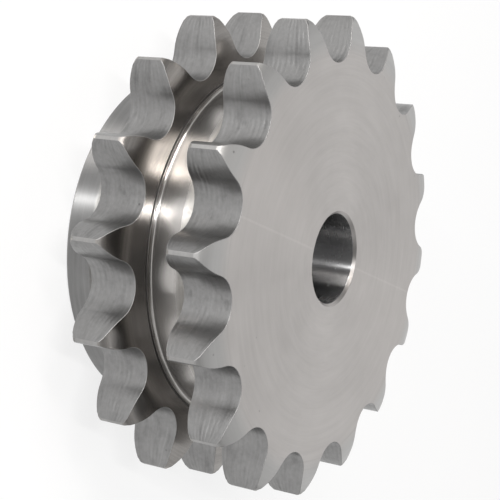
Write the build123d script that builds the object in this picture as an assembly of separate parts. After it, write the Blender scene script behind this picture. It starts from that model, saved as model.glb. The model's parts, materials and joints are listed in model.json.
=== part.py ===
from build123d import *
import os
from math import atan2, cos, degrees, pi, radians, sin, sqrt

# A one-piece machined steel sprocket for a two-strand roller chain.
# The axis is +Z, the hub's end face is at z = 0 and the flat front face is on top.

# The chain it carries: pin to pin, roller across, and strand to strand
pitch = 19.05
roller_diameter = 11.91
strand_spacing = 22.78

# The teeth: how many, how wide, and how far the tips stand out
teeth = 16
tooth_width = 11.1
tip_diameter = 106.4
tip_land = 0.85
seat_radius = 6.1
relief_depth = 2.05
tip_rounding = 1.3

# The hub, the bore and the groove between the two rows
overall_length = 45.0
hub_diameter = 76.2
hub_chamfer = 1.0
bore_diameter = 20.0
bore_chamfer = 0.65
groove_diameter = 76.2
corner_fillet = 0.8

# What follows from those sizes, as roller-chain teeth are laid out
pitch_radius = pitch / (2 * sin(pi / teeth))
root_radius = pitch_radius - roller_diameter / 2
tip_radius = tip_diameter / 2
seating_angle = 140 - 90 / teeth
relief_radius = 1.063 * pitch
hub_radius = hub_diameter / 2
groove_radius = groove_diameter / 2
bore_radius = bore_diameter / 2

# Heights of the flat sides of the two rows
front_top = overall_length
front_low = front_top - tooth_width
rear_top = front_top - strand_spacing
rear_low = rear_top - tooth_width


def on_circle(centre, radius, angle):
    return centre[0] + radius * cos(radians(angle)), centre[1] + radius * sin(radians(angle))


def bend(centre, radius, start, end):
    """Middle and end point of a circular corner, for the outline below."""
    return on_circle(centre, radius, (start + end) / 2), on_circle(centre, radius, end)


def row_of_teeth(low, top):
    """Outline of one row as radius and height: flat side, relief curve, tip, relief curve."""
    swing = sqrt(relief_radius**2 - (relief_radius - relief_depth) ** 2)
    lean = degrees(atan2(swing, relief_radius - relief_depth))
    shoulder = tip_radius - swing
    rising = bend((shoulder, low + relief_radius), relief_radius, -90, -90 + lean)
    falling = bend((shoulder, top - relief_radius), relief_radius, 90 - lean, 90)
    return [((shoulder, low),), rising, ((tip_radius, top - relief_depth),), falling]


def turned_body():
    """The blank as it leaves the lathe, with the bore, the hub and the groove."""
    inner = groove_radius + corner_fillet
    moves = [((bore_radius + bore_chamfer, 0),)]
    moves += [((hub_radius - hub_chamfer, 0),), ((hub_radius, hub_chamfer),)]
    moves += [((hub_radius, rear_low - corner_fillet),)]
    moves += [bend((hub_radius + corner_fillet, rear_low - corner_fillet), corner_fillet, 180, 90)]
    moves += row_of_teeth(rear_low, rear_top)
    moves += [((inner, rear_top),), bend((inner, rear_top + corner_fillet), corner_fillet, 270, 180)]
    moves += [((groove_radius, front_low - corner_fillet),)]
    moves += [bend((inner, front_low - corner_fillet), corner_fillet, 180, 90)]
    moves += row_of_teeth(front_low, front_top)
    moves += [((bore_radius + bore_chamfer, front_top),), ((bore_radius, front_top - bore_chamfer),)]
    start = (bore_radius, bore_chamfer)
    moves += [(start,)]
    edges = []
    here = start
    for move in moves:
        if len(move) == 1:
            edges.append(Line(here, move[0]))
        else:
            edges.append(ThreePointArc(here, move[0], move[1]))
        here = move[-1]
    outline = Face(Wire(edges))
    tips = [v for v in outline.vertices() if v.X > tip_radius - tip_rounding / 10]
    return revolve(Plane.XZ * outline.fillet_2d(tip_rounding, tips), Axis.Z)


def tooth_gap():
    """The space a roller drops into: a round seat that runs into a bowed flank on each side."""
    centre = (root_radius + seat_radius, 0)
    lean = 180 - seating_angle / 2
    land_angle = 180 / teeth - degrees(tip_land / tip_diameter)
    outside = tip_radius + tip_rounding
    seat_middle, seat_end = bend(centre, seat_radius, 180, lean)
    rim_middle, rim_end = bend((0, 0), outside, land_angle, 0)
    land_edge = on_circle((0, 0), tip_radius, land_angle)
    rim = on_circle((0, 0), outside, land_angle)
    seat = ThreePointArc((root_radius, 0), seat_middle, seat_end)
    flank = TangentArc(seat_end, land_edge, tangent=on_circle((0, 0), 1, lean - 90))
    way_out = Line(land_edge, rim)
    closing = ThreePointArc(rim, rim_middle, rim_end)
    half = Curve() + [seat, flank, way_out, closing]
    whole = half + mirror(half, about=Plane.XZ)
    return extrude(make_face(whole), overall_length, dir=(0, 0, 1))


def sprocket():
    """Both rows are cut in one pass, so their teeth stand in line."""
    gaps = PolarLocations(0, teeth) * tooth_gap()
    body = turned_body() - gaps
    body.label = "sprocket"
    return body


os.makedirs("parts", exist_ok=True)
export_step(sprocket(), "parts/sprocket.step")
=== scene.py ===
import json
import math
import bpy
import numpy as np
from mathutils import Matrix, Vector


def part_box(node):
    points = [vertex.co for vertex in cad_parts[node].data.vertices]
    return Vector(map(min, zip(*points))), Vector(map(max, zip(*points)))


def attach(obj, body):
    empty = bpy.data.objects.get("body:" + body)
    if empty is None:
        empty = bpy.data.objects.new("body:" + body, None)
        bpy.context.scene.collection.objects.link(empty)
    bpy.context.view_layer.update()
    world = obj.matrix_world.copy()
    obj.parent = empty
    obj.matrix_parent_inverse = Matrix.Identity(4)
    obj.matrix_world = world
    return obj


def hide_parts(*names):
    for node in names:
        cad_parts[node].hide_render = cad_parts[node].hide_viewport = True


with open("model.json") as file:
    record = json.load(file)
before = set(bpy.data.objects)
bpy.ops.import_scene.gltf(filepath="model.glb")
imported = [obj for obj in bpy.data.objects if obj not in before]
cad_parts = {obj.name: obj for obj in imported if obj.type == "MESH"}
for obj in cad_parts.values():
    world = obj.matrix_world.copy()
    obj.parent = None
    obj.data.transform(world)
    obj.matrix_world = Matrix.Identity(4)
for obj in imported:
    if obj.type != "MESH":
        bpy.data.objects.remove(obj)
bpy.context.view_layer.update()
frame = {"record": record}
mm = 0.001
mounts = {m["name"]: m for m in frame["record"]["mounts"]}
print("frame loaded")

# The sprocket: one skin worked out from the same sizes as the solid under it
sprocketPiece = {
    "teeth": mounts["front_strand"]["dims"]["count"],
    "pitch": 19.05 * mm,  # pin to pin along the chain
    "roller": 11.91 * mm,  # across one roller
    "strandSpacing": 22.78 * mm,
    "toothWidth": 11.1 * mm,
    "tipDiameter": 106.4 * mm,
    "tipLand": 0.85 * mm,  # flat left on each tip
    "seatRadius": 6.1 * mm,
    "reliefDepth": 2.05 * mm,  # how far each side leans in at the tip
    "reliefRadius": 20.25 * mm,
    "tipRounding": 1.3 * mm,
    "length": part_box("sprocket")[1].z,
    "hubDiameter": 76.2 * mm,  # the groove's too
    "hubChamfer": 1.0 * mm,
    "boreRadius": mounts["bore"]["dims"]["r_mm"] * mm,
    "boreChamfer": 0.65 * mm,
    "cornerFillet": 0.8 * mm,
    "edgeBreak": 0.1 * mm,  # dulled edges all over
    "footWidth": 0.6 * mm,  # narrow trench left by the tool at the foot of the groove's sides
    "footDepth": 0.5 * mm,
    "footRounding": 0.04 * mm,
    "sliver": 0.01 * mm,  # keeps the last straight run of the turned part from having no length
    "seatSteps": 8,
    "flankSteps": 7,
    "sideSteps": 16,  # rings on each side of a row of teeth
    "sideCrowding": 1.7,  # above 1, those rings stand closer together towards the tips
    "wallSteps": 3,
    "cornerSteps": 4,
    "lookupSteps": 200,  # fineness of the side's profile, which makes no faces itself
}


def arcPoints(centre, radius, start, end, steps):
    # points on a circle between two angles, with the outward direction at each
    t = np.linspace(start, end, steps + 1)
    way = np.stack([np.cos(t), np.sin(t)], 1)
    return np.array(centre) + radius * way, way


def easedCorner(before, after, sharp):
    # middle of a dulled corner: halfway between the sharp corner and the chord that cuts it off
    return 0.25 * (before + after) + 0.5 * sharp


def gapOutline(s):
    # half a tooth gap, from its root to the middle of the next tooth: the seat's arc, the flank's
    # arc, tangent to it and ending at the tip land, a dulled corner, and half of the land
    halfStep = math.pi / s["teeth"]
    root = s["pitch"] / (2 * math.sin(halfStep)) - s["roller"] / 2
    tip = s["tipDiameter"] / 2
    seating = math.radians(140 - 90 / s["teeth"]) / 2  # half the seat's angle on such wheels
    centre = np.array([root + s["seatRadius"], 0.0])
    landAngle = halfStep - s["tipLand"] / s["tipDiameter"]
    out = np.array([-math.cos(seating), math.sin(seating)])
    seatEnd = centre + s["seatRadius"] * out
    landEdge = tip * np.array([math.cos(landAngle), math.sin(landAngle)])
    chord = landEdge - seatEnd
    flankRadius = chord @ chord / (2 * chord @ out)
    flankCentre = seatEnd + flankRadius * out
    first = math.atan2(-out[1], -out[0])
    last = math.atan2(*(landEdge - flankCentre)[::-1]) - s["edgeBreak"] / flankRadius
    landStart = landAngle + s["edgeBreak"] / tip
    seat, seatWay = arcPoints(centre, s["seatRadius"], math.pi, math.pi - seating, s["seatSteps"])
    flank, flankWay = arcPoints(flankCentre, flankRadius, first, last, s["flankSteps"])
    land, landWay = arcPoints((0, 0), tip, landStart, halfStep, 1)
    corner = easedCorner(flank[-1], land[0], landEdge)
    points = np.vstack([seat, flank[1:], corner[None], land])
    ways = np.vstack([-seatWay, flankWay[1:], (flankWay[-1] + landWay[0])[None], landWay])
    return points, ways / np.linalg.norm(ways, axis=1)[:, None]


def wholeOutline(s):
    # that half and its mirror image, turned once for each tooth: points, outward directions, and
    # which of the points lie on a tip land
    half, halfWays = gapOutline(s)
    points = np.vstack([(half * (1, -1))[::-1], half[1:-1]])
    ways = np.vstack([(halfWays * (1, -1))[::-1], halfWays[1:-1]])
    turn = 2 * math.pi / s["teeth"] * np.arange(s["teeth"])[:, None]

    def spin(v):
        x = v[None, :, 0] * np.cos(turn) - v[None, :, 1] * np.sin(turn)
        y = v[None, :, 0] * np.sin(turn) + v[None, :, 1] * np.cos(turn)
        return np.stack([x.ravel(), y.ravel()], 1)

    onLand = np.hypot(*points.T) > s["tipDiameter"] / 2 - s["edgeBreak"] / 3
    return spin(points), spin(ways), np.tile(onLand, s["teeth"])


def sideProfile(s):
    # side of a row from the axis to the tip: flat, then the relief's arc, then the tip's rounding;
    # radius, depth below the flat, lean from upright, and distance travelled along it
    tip = s["tipDiameter"] / 2
    big, small = s["reliefRadius"], s["tipRounding"]
    shoulder = tip - math.sqrt(big**2 - (big - s["reliefDepth"]) ** 2)
    meet = math.asin((tip - small - shoulder) / (big - small))
    a = np.linspace(0, meet, s["lookupSteps"])
    b = np.linspace(meet, math.pi / 2, s["lookupSteps"])[1:]
    drop = big - (big - small) * math.cos(meet)
    radius = np.concatenate([[0], shoulder + big * np.sin(a), tip - small + small * np.sin(b)])
    depth = np.concatenate([[0], big - big * np.cos(a), drop - small * np.cos(b)])
    lean = np.concatenate([[0], a, b])
    along = np.concatenate([[0], np.cumsum(np.hypot(np.diff(radius), np.diff(depth)))])
    return {"radius": radius, "depth": depth, "lean": lean, "along": along}


def lathePath(corners, rounding, steps):
    # a turned stretch as radius and height: straight runs joined by arcs of the given radii,
    # with the outward direction on the right of the way it runs
    points, ways = [np.array(corners[0])], []
    for before, here, after, r in zip(corners, corners[1:], corners[2:], rounding):
        a = np.subtract(here, before) / np.linalg.norm(np.subtract(here, before))
        b = np.subtract(after, here) / np.linalg.norm(np.subtract(after, here))
        turn = math.atan2(a[0] * b[1] - a[1] * b[0], a @ b)
        cut = r * math.tan(abs(turn) / 2)
        side = np.array([-a[1], a[0]]) * math.copysign(1, turn)
        centre = np.array(here) - cut * a + r * side
        start = math.atan2(*(-side)[::-1])
        arc, way = arcPoints(centre, r, start, start + turn, steps)
        ways += [(a[1], -a[0])] if not ways else []
        points += list(arc)
        ways += list(way * math.copysign(1, turn))
    points.append(np.array(corners[-1]))
    ways.append(ways[-1])
    return np.array(points), np.array(ways)


def sprocketSkin(s):
    # a lathe profile carried round the axis and cut off, at each angle, where the outline of the
    # tooth gap is; rows run up the profile and columns round the outline, and both close
    outline, out, onLand = wholeOutline(s)
    side = sideProfile(s)
    edge = s["edgeBreak"]
    reach = np.hypot(*outline.T)
    angle = np.arctan2(outline[:, 1], outline[:, 0])
    cosine, sine = np.cos(angle), np.sin(angle)
    inset = outline - edge * out
    insetReach = np.hypot(*inset.T)
    insetTurn = np.arctan2(inset[:, 1], inset[:, 0]) - angle
    insetTurn = (insetTurn + math.pi) % (2 * math.pi) - math.pi
    one = np.ones_like(reach)
    rows, rowKind = [], []

    def addRow(x, y, z, nx, ny, nz, kind):
        n = np.sqrt(nx**2 + ny**2 + nz**2)
        rows.append(np.stack([x, y, z * one, nx / n, ny / n, nz / n], 1))
        rowKind.append(kind)

    def addTurned(path, ways, kinds):
        for (r, z), (nr, nz), kind in zip(path, ways, kinds):
            addRow(r * cosine, r * sine, z, nr * cosine, nr * sine, nz * one, kind)

    def sideRows(flat, up, start):
        # rows of one side, from radius start out to the dulled edge of the outline; up is 1 on a
        # side that faces the front and -1 on one that faces the hub
        endAlong = np.interp(insetReach, side["radius"], side["along"])
        startAlong = np.interp(start, side["radius"], side["along"])
        t = np.linspace(0, 1, s["sideSteps"] + 1)[1:]
        made = []
        for share in 1 - (1 - t) ** s["sideCrowding"]:
            along = startAlong + share * (endAlong - startAlong)
            r = np.interp(along, side["along"], side["radius"])
            depth = np.interp(r, side["radius"], side["depth"])
            lean = np.interp(r, side["radius"], side["lean"])
            a = angle + insetTurn * (r - start) / (insetReach - start)
            way = np.sin(lean) * np.cos(a), np.sin(lean) * np.sin(a), up * np.cos(lean)
            made.append((r * np.cos(a), r * np.sin(a), flat - up * depth, *way))
        return made

    def addDulled(beside, sharpZ, wallZ):
        # middle of the dulled edge between a side's outermost row and the wall
        ends = zip(beside[:3], (*outline.T, wallZ), (*outline.T, sharpZ))
        middle = [easedCorner(*each) for each in ends]
        nx, ny, nz = beside[3:]
        addRow(*middle, nx + out[:, 0], ny + out[:, 1], nz, "edge")

    def addTeeth(low, top, lowKind, topKind, lowStart, topStart):
        # a row of teeth: its side towards the hub, the wall along the outline, its other side
        under, over = sideRows(low, -1, lowStart), sideRows(top, 1, topStart)[::-1]
        depth = np.interp(reach, side["radius"], side["depth"])
        recess = depth + np.where(onLand, 0, edge)
        lowEnd, topEnd = low + recess, top - recess
        for row in under:
            addRow(*row, lowKind)
        addDulled(under[-1], low + depth, lowEnd)
        for share in np.linspace(0, 1, s["wallSteps"] + 1):
            addRow(*outline.T, lowEnd + share * (topEnd - lowEnd), *out.T, 0 * one, "wall")
        addDulled(over[0], top - depth, topEnd)
        for row in over:
            addRow(*row, topKind)

    frontTop = s["length"]
    frontLow = frontTop - s["toothWidth"]
    rearTop = frontTop - s["strandSpacing"]
    rearLow = rearTop - s["toothWidth"]
    bore, hub = s["boreRadius"], s["hubDiameter"] / 2
    boreCut, hubCut, fillet = s["boreChamfer"], s["hubChamfer"], s["cornerFillet"]
    tight, sliver = s["footRounding"], s["sliver"]
    inner = hub + fillet
    foot, deep = inner + s["footWidth"], s["footDepth"]

    # inner part of the front face, the bore, the hub's end face and the hub
    corners = [(inner, frontTop), (bore + boreCut, frontTop), (bore, frontTop - boreCut),
               (bore, boreCut), (bore + boreCut, 0), (hub - hubCut, 0), (hub, hubCut),
               (hub, rearLow), (inner + sliver, rearLow)]
    rounding = [edge] * 6 + [fillet - sliver / 10]
    path, ways = lathePath(corners, rounding, s["cornerSteps"])
    kinds = ["hub" if z < frontTop / 2 else "face" for r, z in path]
    kinds = ["bore" if r < bore + boreCut / 2 else kind for kind, (r, z) in zip(kinds, path)]
    addTurned(path, ways, kinds)
    addTeeth(rearLow, rearTop, "hub", "side", inner, foot)

    # groove, with a trench and a fillet at each side, given as radius and depth below the side;
    # the trench's outer wall leans by a third of its depth
    down = [(foot + 2 * tight, 0), (foot, 0), (foot - deep / 3, deep),
            (inner, deep), (inner, 0), (hub, 0)]
    corners = [(r, rearTop - d) for r, d in down] + [(r, frontLow + d) for r, d in down[::-1]]
    rounding = [tight] * 4 + [fillet - 2 * tight] * 2 + [tight] * 4
    path, ways = lathePath(corners, rounding, s["cornerSteps"])
    # the trench takes the foot finish, whose darker colour is painted shade
    kinds = ["foot" if r > inner - tight / 2 else "groove" for r, z in path]
    addTurned(path[1:-1], ways[1:-1], kinds[1:-1])
    addTeeth(frontLow, frontTop, "side", "face", foot, inner)

    # the front face is flat where the rows close, so its innermost row isn't needed
    rows.pop()
    rowKind.pop()
    return np.array(rows), rowKind, onLand


# Steel finishes: colour, roughness, stretch of the shine across the lay, how much the lay shows
# in the colour, and how deep it is. The side has finer bands than the others. The hub and the
# groove have a pale ring, which starts at the height given; its paleness is painted light. The
# side's and the foot's darker colours are painted shade, between the rows and in the trench
steelLook = {
    "face": {"colour": (0.433, 0.413, 0.4), "rough": 0.38, "stretch": 0.6,
             "lay": 0.035, "depth": 0.005 * mm},
    "bore": {"colour": (0.425, 0.423, 0.425), "rough": 0.26, "stretch": 1.0,
             "lay": 0.06, "depth": 0.002 * mm},
    # the pale colour of the hub's and the groove's rings is painted light
    "hub": {"colour": (0.272, 0.27, 0.268), "rough": 0.34, "stretch": 1.0,
            "lay": 0.12, "depth": 0.01 * mm, "ring": 6.4 * mm, "paintedLightColour": (0.5, 0.485, 0.46)},
    "groove": {"colour": (0.45, 0.434, 0.418), "rough": 0.22, "stretch": 0.95,
               "lay": 0.1, "depth": 0.003 * mm, "ring": 28.4 * mm, "paintedLightColour": (0.56, 0.54, 0.51)},
    # the foot's darker colour is painted shade in the trench
    "foot": {"colour": (0.26, 0.252, 0.245), "rough": 0.5, "stretch": 0.0,
             "lay": 0.1, "depth": 0.001 * mm},
    # the side's darker colour is painted shade on the sides that face each other across the groove
    "side": {"colour": (0.29, 0.276, 0.263), "rough": 0.215, "stretch": 0.6,
             "lay": 0.18, "depth": 0.0015 * mm, "bands": 1300},
    "tip": {"colour": (0.34, 0.335, 0.33), "rough": 0.42, "stretch": 0.4,
            "lay": 0.1, "depth": 0.015 * mm},
    "edge": {"colour": (0.32, 0.317, 0.314), "rough": 0.6, "stretch": 0.0,
             "lay": 0.1, "depth": 0.01 * mm},
    "gap": {"colour": (0.253, 0.251, 0.249), "rough": 0.36, "stretch": 0.2,
            "lay": 0.12, "depth": 0.02 * mm},
}


def faceFinishes(rowKind, onLand):
    # a number for each face: the finish of its row, except that the walls are plain on the tips,
    # hobbed in the gaps, and dulled along the gaps' edges
    order = list(steelLook)
    kind = np.array(rowKind)
    upper = np.roll(kind, -1)
    wall = np.isin(kind, ["wall", "edge"]) & np.isin(upper, ["wall", "edge"])
    plain = np.where(np.isin(kind, ["wall", "edge"]), upper, kind)
    base = np.array([order.index("tip" if w else k) for k, w in zip(plain, wall)])
    onTip = onLand & np.roll(onLand, -1)
    which = np.where(wall[:, None] & ~onTip[None], order.index("gap"), base[:, None])
    dulled = (kind == "edge") | (upper == "edge")
    which[dulled[:, None] & ~onTip[None]] = order.index("edge")
    return which.ravel().astype(np.int32)


def travelled(points):
    # distance along a closed run of points, from nought to once round
    steps = np.linalg.norm(np.roll(points, -1, 0) - points, axis=1)
    return np.concatenate([[0], np.cumsum(steps)])


def skinObject(name, s, finishes):
    grid, rowKind, onLand = sprocketSkin(s)
    m, n = grid.shape[:2]
    j, i = np.meshgrid(np.arange(m), np.arange(n), indexing="ij")
    nextJ, nextI = (j + 1) % m, (i + 1) % n
    faces = np.stack([j * n + i, j * n + nextI, nextJ * n + nextI, nextJ * n + i], -1)
    count = m * n
    mesh = bpy.data.meshes.new(name)
    mesh.vertices.add(count)
    mesh.vertices.foreach_set("co", grid[..., :3].ravel())
    mesh.loops.add(4 * count)
    mesh.loops.foreach_set("vertex_index", faces.ravel())
    mesh.polygons.add(count)
    mesh.polygons.foreach_set("loop_start", np.arange(0, 4 * count, 4))
    mesh.polygons.foreach_set("material_index", faceFinishes(rowKind, onLand))
    # a map in metres: across is the way round the outline, up is the way up the profile
    root = np.argmin(np.hypot(*grid[:, :, :2].mean(0).T))
    u, v = travelled(grid[m // 2, :, :3]), travelled(grid[:, root, :3])
    uv = [np.stack([u[i + a], v[j + b]], -1) for a, b in ((0, 0), (1, 0), (1, 1), (0, 1))]
    mesh.uv_layers.new(name="lay").uv.foreach_set("vector", np.stack(uv, 2).ravel())
    for finish in finishes:
        mesh.materials.append(finish)
    mesh.polygons.foreach_set("use_smooth", np.ones(count, bool))
    mesh.update()
    mesh.validate()
    mesh.normals_split_custom_set_from_vertices(grid[..., 3:].reshape(-1, 3))
    thing = bpy.data.objects.new(name, mesh)
    bpy.context.scene.collection.objects.link(thing)
    print(name, "faces", count)
    return thing


def newMaterial(name):
    material = bpy.data.materials.new(name)
    material.use_nodes = True
    tree = material.node_tree
    tree.nodes.clear()
    return material, tree


def addNode(tree, kind, inputs=(), **settings):
    node = tree.nodes.new(kind)
    for key, value in settings.items():
        setattr(node, key, value)
    for key, value in dict(inputs).items():
        if isinstance(value, bpy.types.NodeSocket):
            tree.links.new(value, node.inputs[key])
        else:
            node.inputs[key].default_value = value
    return node


def maths(tree, kind, *values):
    return addNode(tree, "ShaderNodeMath", dict(enumerate(values)), operation=kind).outputs[0]


def vectors(tree, kind, *values):
    return addNode(tree, "ShaderNodeVectorMath", dict(enumerate(values)), operation=kind).outputs


def noise(tree, vector, scale, detail):
    inputs = {"Vector": vector, "Scale": scale, "Detail": detail, "Roughness": 0.6}
    return addNode(tree, "ShaderNodeTexNoise", inputs).outputs[0]


def drawnOut(tree, vector, scales, detail):
    # noise with a scale of its own in each direction
    return noise(tree, vectors(tree, "MULTIPLY", vector, scales)[0], 1, detail)


def ranged(tree, value, low, high, lowest=0, highest=1, ease="LINEAR"):
    inputs = {
        "Value": value, "From Min": low, "From Max": high, "To Min": lowest, "To Max": highest}
    return addNode(tree, "ShaderNodeMapRange", inputs, interpolation_type=ease).outputs[0]


def part(tree, vector, index):
    return addNode(tree, "ShaderNodeSeparateXYZ", {0: vector}).outputs[index]


def mixed(tree, share, first, second):
    # sockets 6 and 7 of this node are its two colours
    inputs = {0: share, 6: (*first, 1), 7: (*second, 1)}
    return addNode(tree, "ShaderNodeMix", inputs, data_type="RGBA").outputs[2]


# Marks on every finish. A scale is in cycles to the metre, and levels are where in a noise its
# patches begin and where they are full
markSetting = {
    "rings": (3600, 3, 3),  # fine turned lines: scale along the profile, and round the axis
    "bands": 700,  # broader turned lines, along the profile
    "bandsRound": 2,
    "clouds": 110,
    "spread": (0.3, 0.7),  # what a noise covers
    "toneParts": (0.4, 0.6, 0.5),  # weight of the fine lines, the broad ones and the clouds
    "roughSwing": 0.12,  # darker steel is this share rougher, and lighter steel smoother
    "pits": 260,
    "pitSize": (0.03, 0.09),  # as a share of the space between two pits
    "pitPlaces": 150,
    "pitLevels": (0.6, 0.66),
    "pitShade": 0.55,
    "pitDepth": -3.0,  # depths are counted in heights of the finish's own lay
    "tipWorn": (51.4 * mm, 52.6 * mm),  # distance from the axis over which the tips are dulled
    "tipRough": 0.2,  # added there
}


def turnedLay(tree, body, look, s):
    # rings round the axis: noise read along the profile, and round the axis on a circle
    flat = vectors(tree, "MULTIPLY", body, (1, 1, 0))[0]
    circle = vectors(tree, "NORMALIZE", flat)[0]
    along = maths(tree, "ADD", vectors(tree, "LENGTH", flat)["Value"], part(tree, body, 2))
    inputs = {0: along, 1: part(tree, circle, 0), 2: part(tree, circle, 1)}
    place = addNode(tree, "ShaderNodeCombineXYZ", inputs).outputs[0]
    bands = (look.get("bands", s["bands"]), s["bandsRound"], s["bandsRound"])
    tangent = addNode(tree, "ShaderNodeTangent", direction_type="RADIAL", axis="Z").outputs[0]
    return drawnOut(tree, place, s["rings"], 4), drawnOut(tree, place, bands, 3), tangent


# Marks of the hob in the tooth gaps
hobSetting = {
    "lines": (160, 2200, 1),  # fine lines: scale round the tooth, and across it
    "grain": 900,
    "grainDepth": 2.0,
    "feed": 1.2 * mm,  # from one shallow hollow of the cutter to the next
    "feedPlaces": 260,
    "feedLevels": (0.45, 0.62),
    "feedDepth": 0.7,
    "feedShade": 0.05,
    "smudges": (300, 380, 1),
    "smudgeLevels": (0.52, 0.7),
    "smudgeShade": -0.22,
    "rubs": (90, 700, 1),
    "rubLevels": (0.58, 0.7),
    "rubShade": 0.12,
}


def hobMarks(tree, body, place, shade, height, s):
    # feed marks of the cutter, deeper in some patches than in others
    turn = maths(tree, "MULTIPLY", part(tree, place, 1), 2 * math.pi / s["feed"])
    patch = ranged(tree, noise(tree, body, s["feedPlaces"], 2), *s["feedLevels"])
    marks = maths(tree, "MULTIPLY", maths(tree, "SINE", turn), patch)
    height = maths(tree, "MULTIPLY_ADD", marks, s["feedDepth"], height)
    shade = maths(tree, "MULTIPLY_ADD", marks, s["feedShade"], shade)
    # smudges and rubbed patches, drawn out a little round the tooth
    smudge = ranged(tree, drawnOut(tree, place, s["smudges"], 4), *s["smudgeLevels"])
    shade = maths(tree, "MULTIPLY_ADD", smudge, s["smudgeShade"], shade)
    rubbed = ranged(tree, drawnOut(tree, place, s["rubs"], 3), *s["rubLevels"])
    return maths(tree, "MULTIPLY_ADD", rubbed, s["rubShade"], shade), height


# Lines and tones on the front face, among them a painted highlight and painted shade
faceSetting = {
    "lineTurn": 23,  # a faint painted highlight across the middle, in degrees from +X
    "lineHalf": (0.12 * mm, 0.32 * mm),  # half its width, and where it has faded out
    "lineEnd": (43 * mm, 45 * mm),  # distance from the axis over which it ends
    "lineHighlight": 0.07,
    "leanReach": 44.9 * mm,  # a dark hairline, where the teeth begin to lean in
    "hairHalf": (0.08 * mm, 0.3 * mm),
    "hairShade": 0.06,
    "hairLevels": (0.42, 0.58),
    "hairLeast": 0.2,  # share of it that shows where the clouds are thin
    "leanShadeReach": (44.5 * mm, 48 * mm),  # from the axis, where painted shade sets in
    "coolColour": (0.405, 0.4, 0.393),
}


def faceMarks(tree, body, reach, cloud, shade, colour, s):
    # a painted highlight: a faint pale line straight across the middle, out to the lean of the
    # teeth
    turn = math.radians(s["lineTurn"])
    across = vectors(tree, "DOT_PRODUCT", body, (math.sin(turn), -math.cos(turn), 0))["Value"]
    highlightLine = ranged(tree, maths(tree, "ABSOLUTE", across), *s["lineHalf"], s["lineHighlight"], 0)
    highlightLine = maths(tree, "MULTIPLY", highlightLine, ranged(tree, reach, *s["lineEnd"], 1, 0))
    shade = maths(tree, "ADD", shade, highlightLine)
    # a dark hairline there, broken by the clouds, and outside it painted shade, cooler and darker
    off = maths(tree, "ABSOLUTE", maths(tree, "SUBTRACT", reach, s["leanReach"]))
    hair = ranged(tree, off, *s["hairHalf"], s["hairShade"], 0)
    hair = maths(tree, "MULTIPLY", hair, ranged(tree, cloud, *s["hairLevels"], s["hairLeast"], 1))
    shade = maths(tree, "SUBTRACT", shade, hair)
    return shade, mixed(tree, ranged(tree, reach, *s["leanShadeReach"]), colour, s["coolColour"])


# Pale ring under a row of teeth, from the height the finish gives; its paleness is painted light
ringSetting = {
    "fade": 1.2 * mm,  # height over which it sets in
    "specks": 1100,
    "speckLevels": (0.4, 0.6),
    "speckLeast": 0.55,  # strength of the ring between the specks
    "rough": 0.4,  # added where it is full
}


def paleRing(tree, body, rough, look, s):
    # the ring under a row of teeth: rougher, and paler in a colour that is painted light
    ring = ranged(tree, part(tree, body, 2), look["ring"], look["ring"] + s["fade"])
    specks = noise(tree, body, s["specks"], 2)
    broken = ranged(tree, specks, *s["speckLevels"], s["speckLeast"], 1)
    ring = maths(tree, "MULTIPLY", ring, broken)
    rough = maths(tree, "ADD", rough, maths(tree, "MULTIPLY", ring, s["rough"]))
    return mixed(tree, ring, look["colour"], look["paintedLightColour"]), rough


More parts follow.
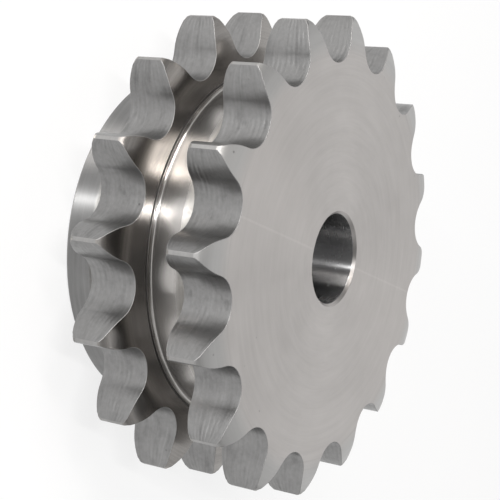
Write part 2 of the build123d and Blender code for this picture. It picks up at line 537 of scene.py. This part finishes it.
def steel(name, look, s):
    material, tree = newMaterial(name + "Steel")
    body = addNode(tree, "ShaderNodeTexCoord").outputs["Object"]
    reach = vectors(tree, "LENGTH", vectors(tree, "MULTIPLY", body, (1, 1, 0))[0])["Value"]
    if name == "gap":
        place = addNode(tree, "ShaderNodeUVMap", uv_map="lay").outputs[0]
        fine = drawnOut(tree, place, hobSetting["lines"], 4)
        broad = noise(tree, body, hobSetting["grain"], 3)
        tangent = addNode(tree, "ShaderNodeTangent", direction_type="UV_MAP", uv_map="lay")
        tangent = tangent.outputs[0]
    else:
        fine, broad, tangent = turnedLay(tree, body, look, s)
    cloud = noise(tree, body, s["clouds"], 5)
    parts = [ranged(tree, value, *s["spread"], -weight, weight)
             for value, weight in zip((fine, broad, cloud), s["toneParts"])]
    tone = maths(tree, "ADD", maths(tree, "ADD", parts[0], parts[1]), parts[2])
    shade = ranged(tree, tone, -1, 1, 1 - look["lay"], 1 + look["lay"])
    swing = look["rough"] * s["roughSwing"]
    rough = ranged(tree, tone, -1, 1, look["rough"] + swing, look["rough"] - swing)
    height, colour = broad, look["colour"]
    if name == "gap":
        height = maths(tree, "MULTIPLY_ADD", broad, hobSetting["grainDepth"], fine)
        shade, height = hobMarks(tree, body, place, shade, height, hobSetting)
    if name == "face":
        # the front face gets a painted highlight line and painted shade on its leaning tips
        shade, colour = faceMarks(tree, body, reach, cloud, shade, colour, faceSetting)
    # a rougher ring, with a paler colour that is painted light
    if "ring" in look:
        colour, rough = paleRing(tree, body, rough, look, ringSetting)
    if name in ("face", "side"):
        rough = maths(tree, "ADD", rough, ranged(tree, reach, *s["tipWorn"], 0, s["tipRough"]))
    # sparse small pits, darker than the steel round them
    inputs = {"Vector": body, "Scale": s["pits"]}
    away = addNode(tree, "ShaderNodeTexVoronoi", inputs).outputs["Distance"]
    rare = ranged(tree, noise(tree, body, s["pitPlaces"], 1), *s["pitLevels"])
    pit = maths(tree, "MULTIPLY", ranged(tree, away, *s["pitSize"], 1, 0), rare)
    shade = maths(tree, "MULTIPLY", shade, ranged(tree, pit, 0, 1, 1, s["pitShade"]))
    height = maths(tree, "MULTIPLY_ADD", pit, s["pitDepth"], height)
    tint = addNode(tree, "ShaderNodeVectorMath", {0: colour, "Scale": shade}, operation="SCALE")
    relief = {"Height": height, "Strength": 1.0, "Distance": look["depth"]}
    bump = addNode(tree, "ShaderNodeBump", relief)
    skin = addNode(tree, "ShaderNodeBsdfPrincipled", {
        "Base Color": tint.outputs[0], "Metallic": 1.0, "Roughness": rough,
        "Normal": bump.outputs[0], "Tangent": tangent, "Anisotropic": look["stretch"],
        "Anisotropic Rotation": 0.25})  # a quarter turn, so that the shine spreads across the lay
    addNode(tree, "ShaderNodeOutputMaterial", {"Surface": skin.outputs[0]})
    return material


finishes = [steel(name, look, markSetting) for name, look in steelLook.items()]
print("finishes made")
sprocket = skinObject("sprocketBody", sprocketPiece, finishes)
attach(sprocket, "root")
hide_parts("sprocket")
print("sprocket made")

# Camera, as the photograph was framed
cameraSetting = {
    "place": (220.72 * mm, 130.52 * mm, 172.25 * mm),
    "forward": (-0.74531, -0.43844, -0.50227),
    "up": (0.56142, -0.81906, -0.11811),
    "lens": 93.67,  # mm, as the sensor's width is
    "sensor": 36,
    "nearest": 10 * mm,
}


def makeCamera(s):
    forward = Vector(s["forward"]).normalized()
    right = forward.cross(Vector(s["up"])).normalized()
    up = right.cross(forward)
    camera = bpy.data.objects.new("camera", bpy.data.cameras.new("camera"))
    camera.data.lens = s["lens"]
    camera.data.sensor_width = s["sensor"]
    camera.data.clip_start = s["nearest"]
    turn = Matrix((right, up, -forward)).transposed()
    camera.matrix_world = Matrix.Translation(s["place"]) @ turn.to_4x4()
    bpy.context.scene.collection.objects.link(camera)
    bpy.context.scene.camera = camera


makeCamera(cameraSetting)
print("camera placed")

# Floor, world and lamps; directions are an azimuth round the axis and a height above the floor
stageSetting = {
    "floorSize": 40.0,
    "floorColour": (0.95, 0.95, 0.95, 1),
    "floorGlow": 0.76,  # share of the floor that shows as plain white near the sprocket
    "allWhite": (0.35, 1.2),  # metres from the sprocket over which that share rises to the whole
    "worldBase": 0.3,
    "worldLobes": [
        # azimuth, height, half width, soft edge, all in degrees, and strength
        (210, 30, 25, 50, 0.72),
        (42, 45, 20, 40, -0.22),
        (-70, 28, 25, 35, -0.28),
        (152, 25, 15, 30, -0.3),
    ],
    "surround": (12, 26),  # height in degrees up to which it is white, and where that has faded
    "lampAim": (0, 0, 20 * mm),
    "lamps": [
        # name, azimuth, height, distance, width, length, power, colour
        ("window", -22, 21, 1.0, 0.48, 0.7, 7.5, (1, 0.97, 0.94)),
        ("stripLow", 15, 11, 1.0, 0.025, 0.35, 3.6, (1, 1, 1)),
        ("stripHigh", 15, 46, 1.0, 0.025, 0.4, 3.6, (1, 1, 1)),
        ("windowHigh", -15, 45, 1.0, 0.1, 0.3, 1.8, (1, 0.95, 0.91)),
        ("fill", 100, 40, 1.2, 0.8, 0.6, 0.8, (1, 1, 1)),
    ],
}


def direction(azimuth, height):
    a, e = math.radians(azimuth), math.radians(height)
    return Vector((math.cos(e) * math.cos(a), math.cos(e) * math.sin(a), math.sin(e)))


def whiteRays(tree, share):
    # the rays that see plain white: what the camera sees, straight or mirrored or through glass
    path = addNode(tree, "ShaderNodeLightPath").outputs
    seen = maths(tree, "ADD", path["Is Camera Ray"], path["Is Glossy Ray"])
    seen = maths(tree, "ADD", seen, path["Is Transmission Ray"])
    return maths(tree, "MULTIPLY", maths(tree, "MINIMUM", seen, 1.0), share)


def makeFloor(s):
    a = s["floorSize"] / 2
    mesh = bpy.data.meshes.new("floor")
    mesh.from_pydata([(-a, -a, 0), (a, -a, 0), (a, a, 0), (-a, a, 0)], [], [(0, 1, 2, 3)])
    floor = bpy.data.objects.new("floor", mesh)
    bpy.context.scene.collection.objects.link(floor)
    material, tree = newMaterial("paleFloor")
    paint = addNode(tree, "ShaderNodeBsdfDiffuse", {"Color": s["floorColour"]})
    glow = addNode(tree, "ShaderNodeEmission", {"Color": (1, 1, 1, 1), "Strength": 1.0})
    body = addNode(tree, "ShaderNodeTexCoord").outputs["Object"]
    away = vectors(tree, "LENGTH", body)["Value"]
    share = whiteRays(tree, ranged(tree, away, *s["allWhite"], s["floorGlow"], 1))
    inputs = {0: share, 1: paint.outputs[0], 2: glow.outputs[0]}
    both = addNode(tree, "ShaderNodeMixShader", inputs)
    addNode(tree, "ShaderNodeOutputMaterial", {"Surface": both.outputs[0]})
    mesh.materials.append(material)


def makeWorld(s):
    world = bpy.data.worlds.new("studio")
    bpy.context.scene.world = world
    world.use_nodes = True
    tree = world.node_tree
    tree.nodes.clear()
    way = addNode(tree, "ShaderNodeTexCoord").outputs["Generated"]
    level = s["worldBase"]
    for azimuth, height, half, soft, strength in s["worldLobes"]:
        near = vectors(tree, "DOT_PRODUCT", way, direction(azimuth, height))["Value"]
        outer, inner = (math.cos(math.radians(spread)) for spread in (half + soft, half))
        lobe = ranged(tree, near, outer, inner, 0, strength, "SMOOTHSTEP")
        level = maths(tree, "ADD", level, lobe)
    # a white surround up to some way above the horizon
    low, high = (math.sin(math.radians(height)) for height in s["surround"])
    band = ranged(tree, part(tree, way, 2), low, high, 1, 0, "SMOOTHSTEP")
    white = maths(tree, "MULTIPLY", band, maths(tree, "SUBTRACT", 1.0, level))
    level = maths(tree, "ADD", level, white)
    lit = addNode(tree, "ShaderNodeBackground", {"Color": (1, 1, 1, 1), "Strength": level})
    addNode(tree, "ShaderNodeOutputWorld", {"Surface": lit.outputs[0]})


def areaLamp(target, name, azimuth, height, distance, width, length, power, colour):
    data = bpy.data.lights.new(name, "AREA")
    data.shape = "RECTANGLE"
    data.size = width
    data.size_y = length
    data.energy = power
    data.color = colour
    lamp = bpy.data.objects.new(name, data)
    place = target + distance * direction(azimuth, height)
    turn = (target - place).to_track_quat("-Z", "Y").to_matrix()
    lamp.matrix_world = Matrix.Translation(place) @ turn.to_4x4()
    bpy.context.scene.collection.objects.link(lamp)


makeFloor(stageSetting)
makeWorld(stageSetting)
for lamp in stageSetting["lamps"]:
    areaLamp(Vector(stageSetting["lampAim"]), *lamp)
bpy.context.scene.view_settings.view_transform = "Standard"
print("stage set")
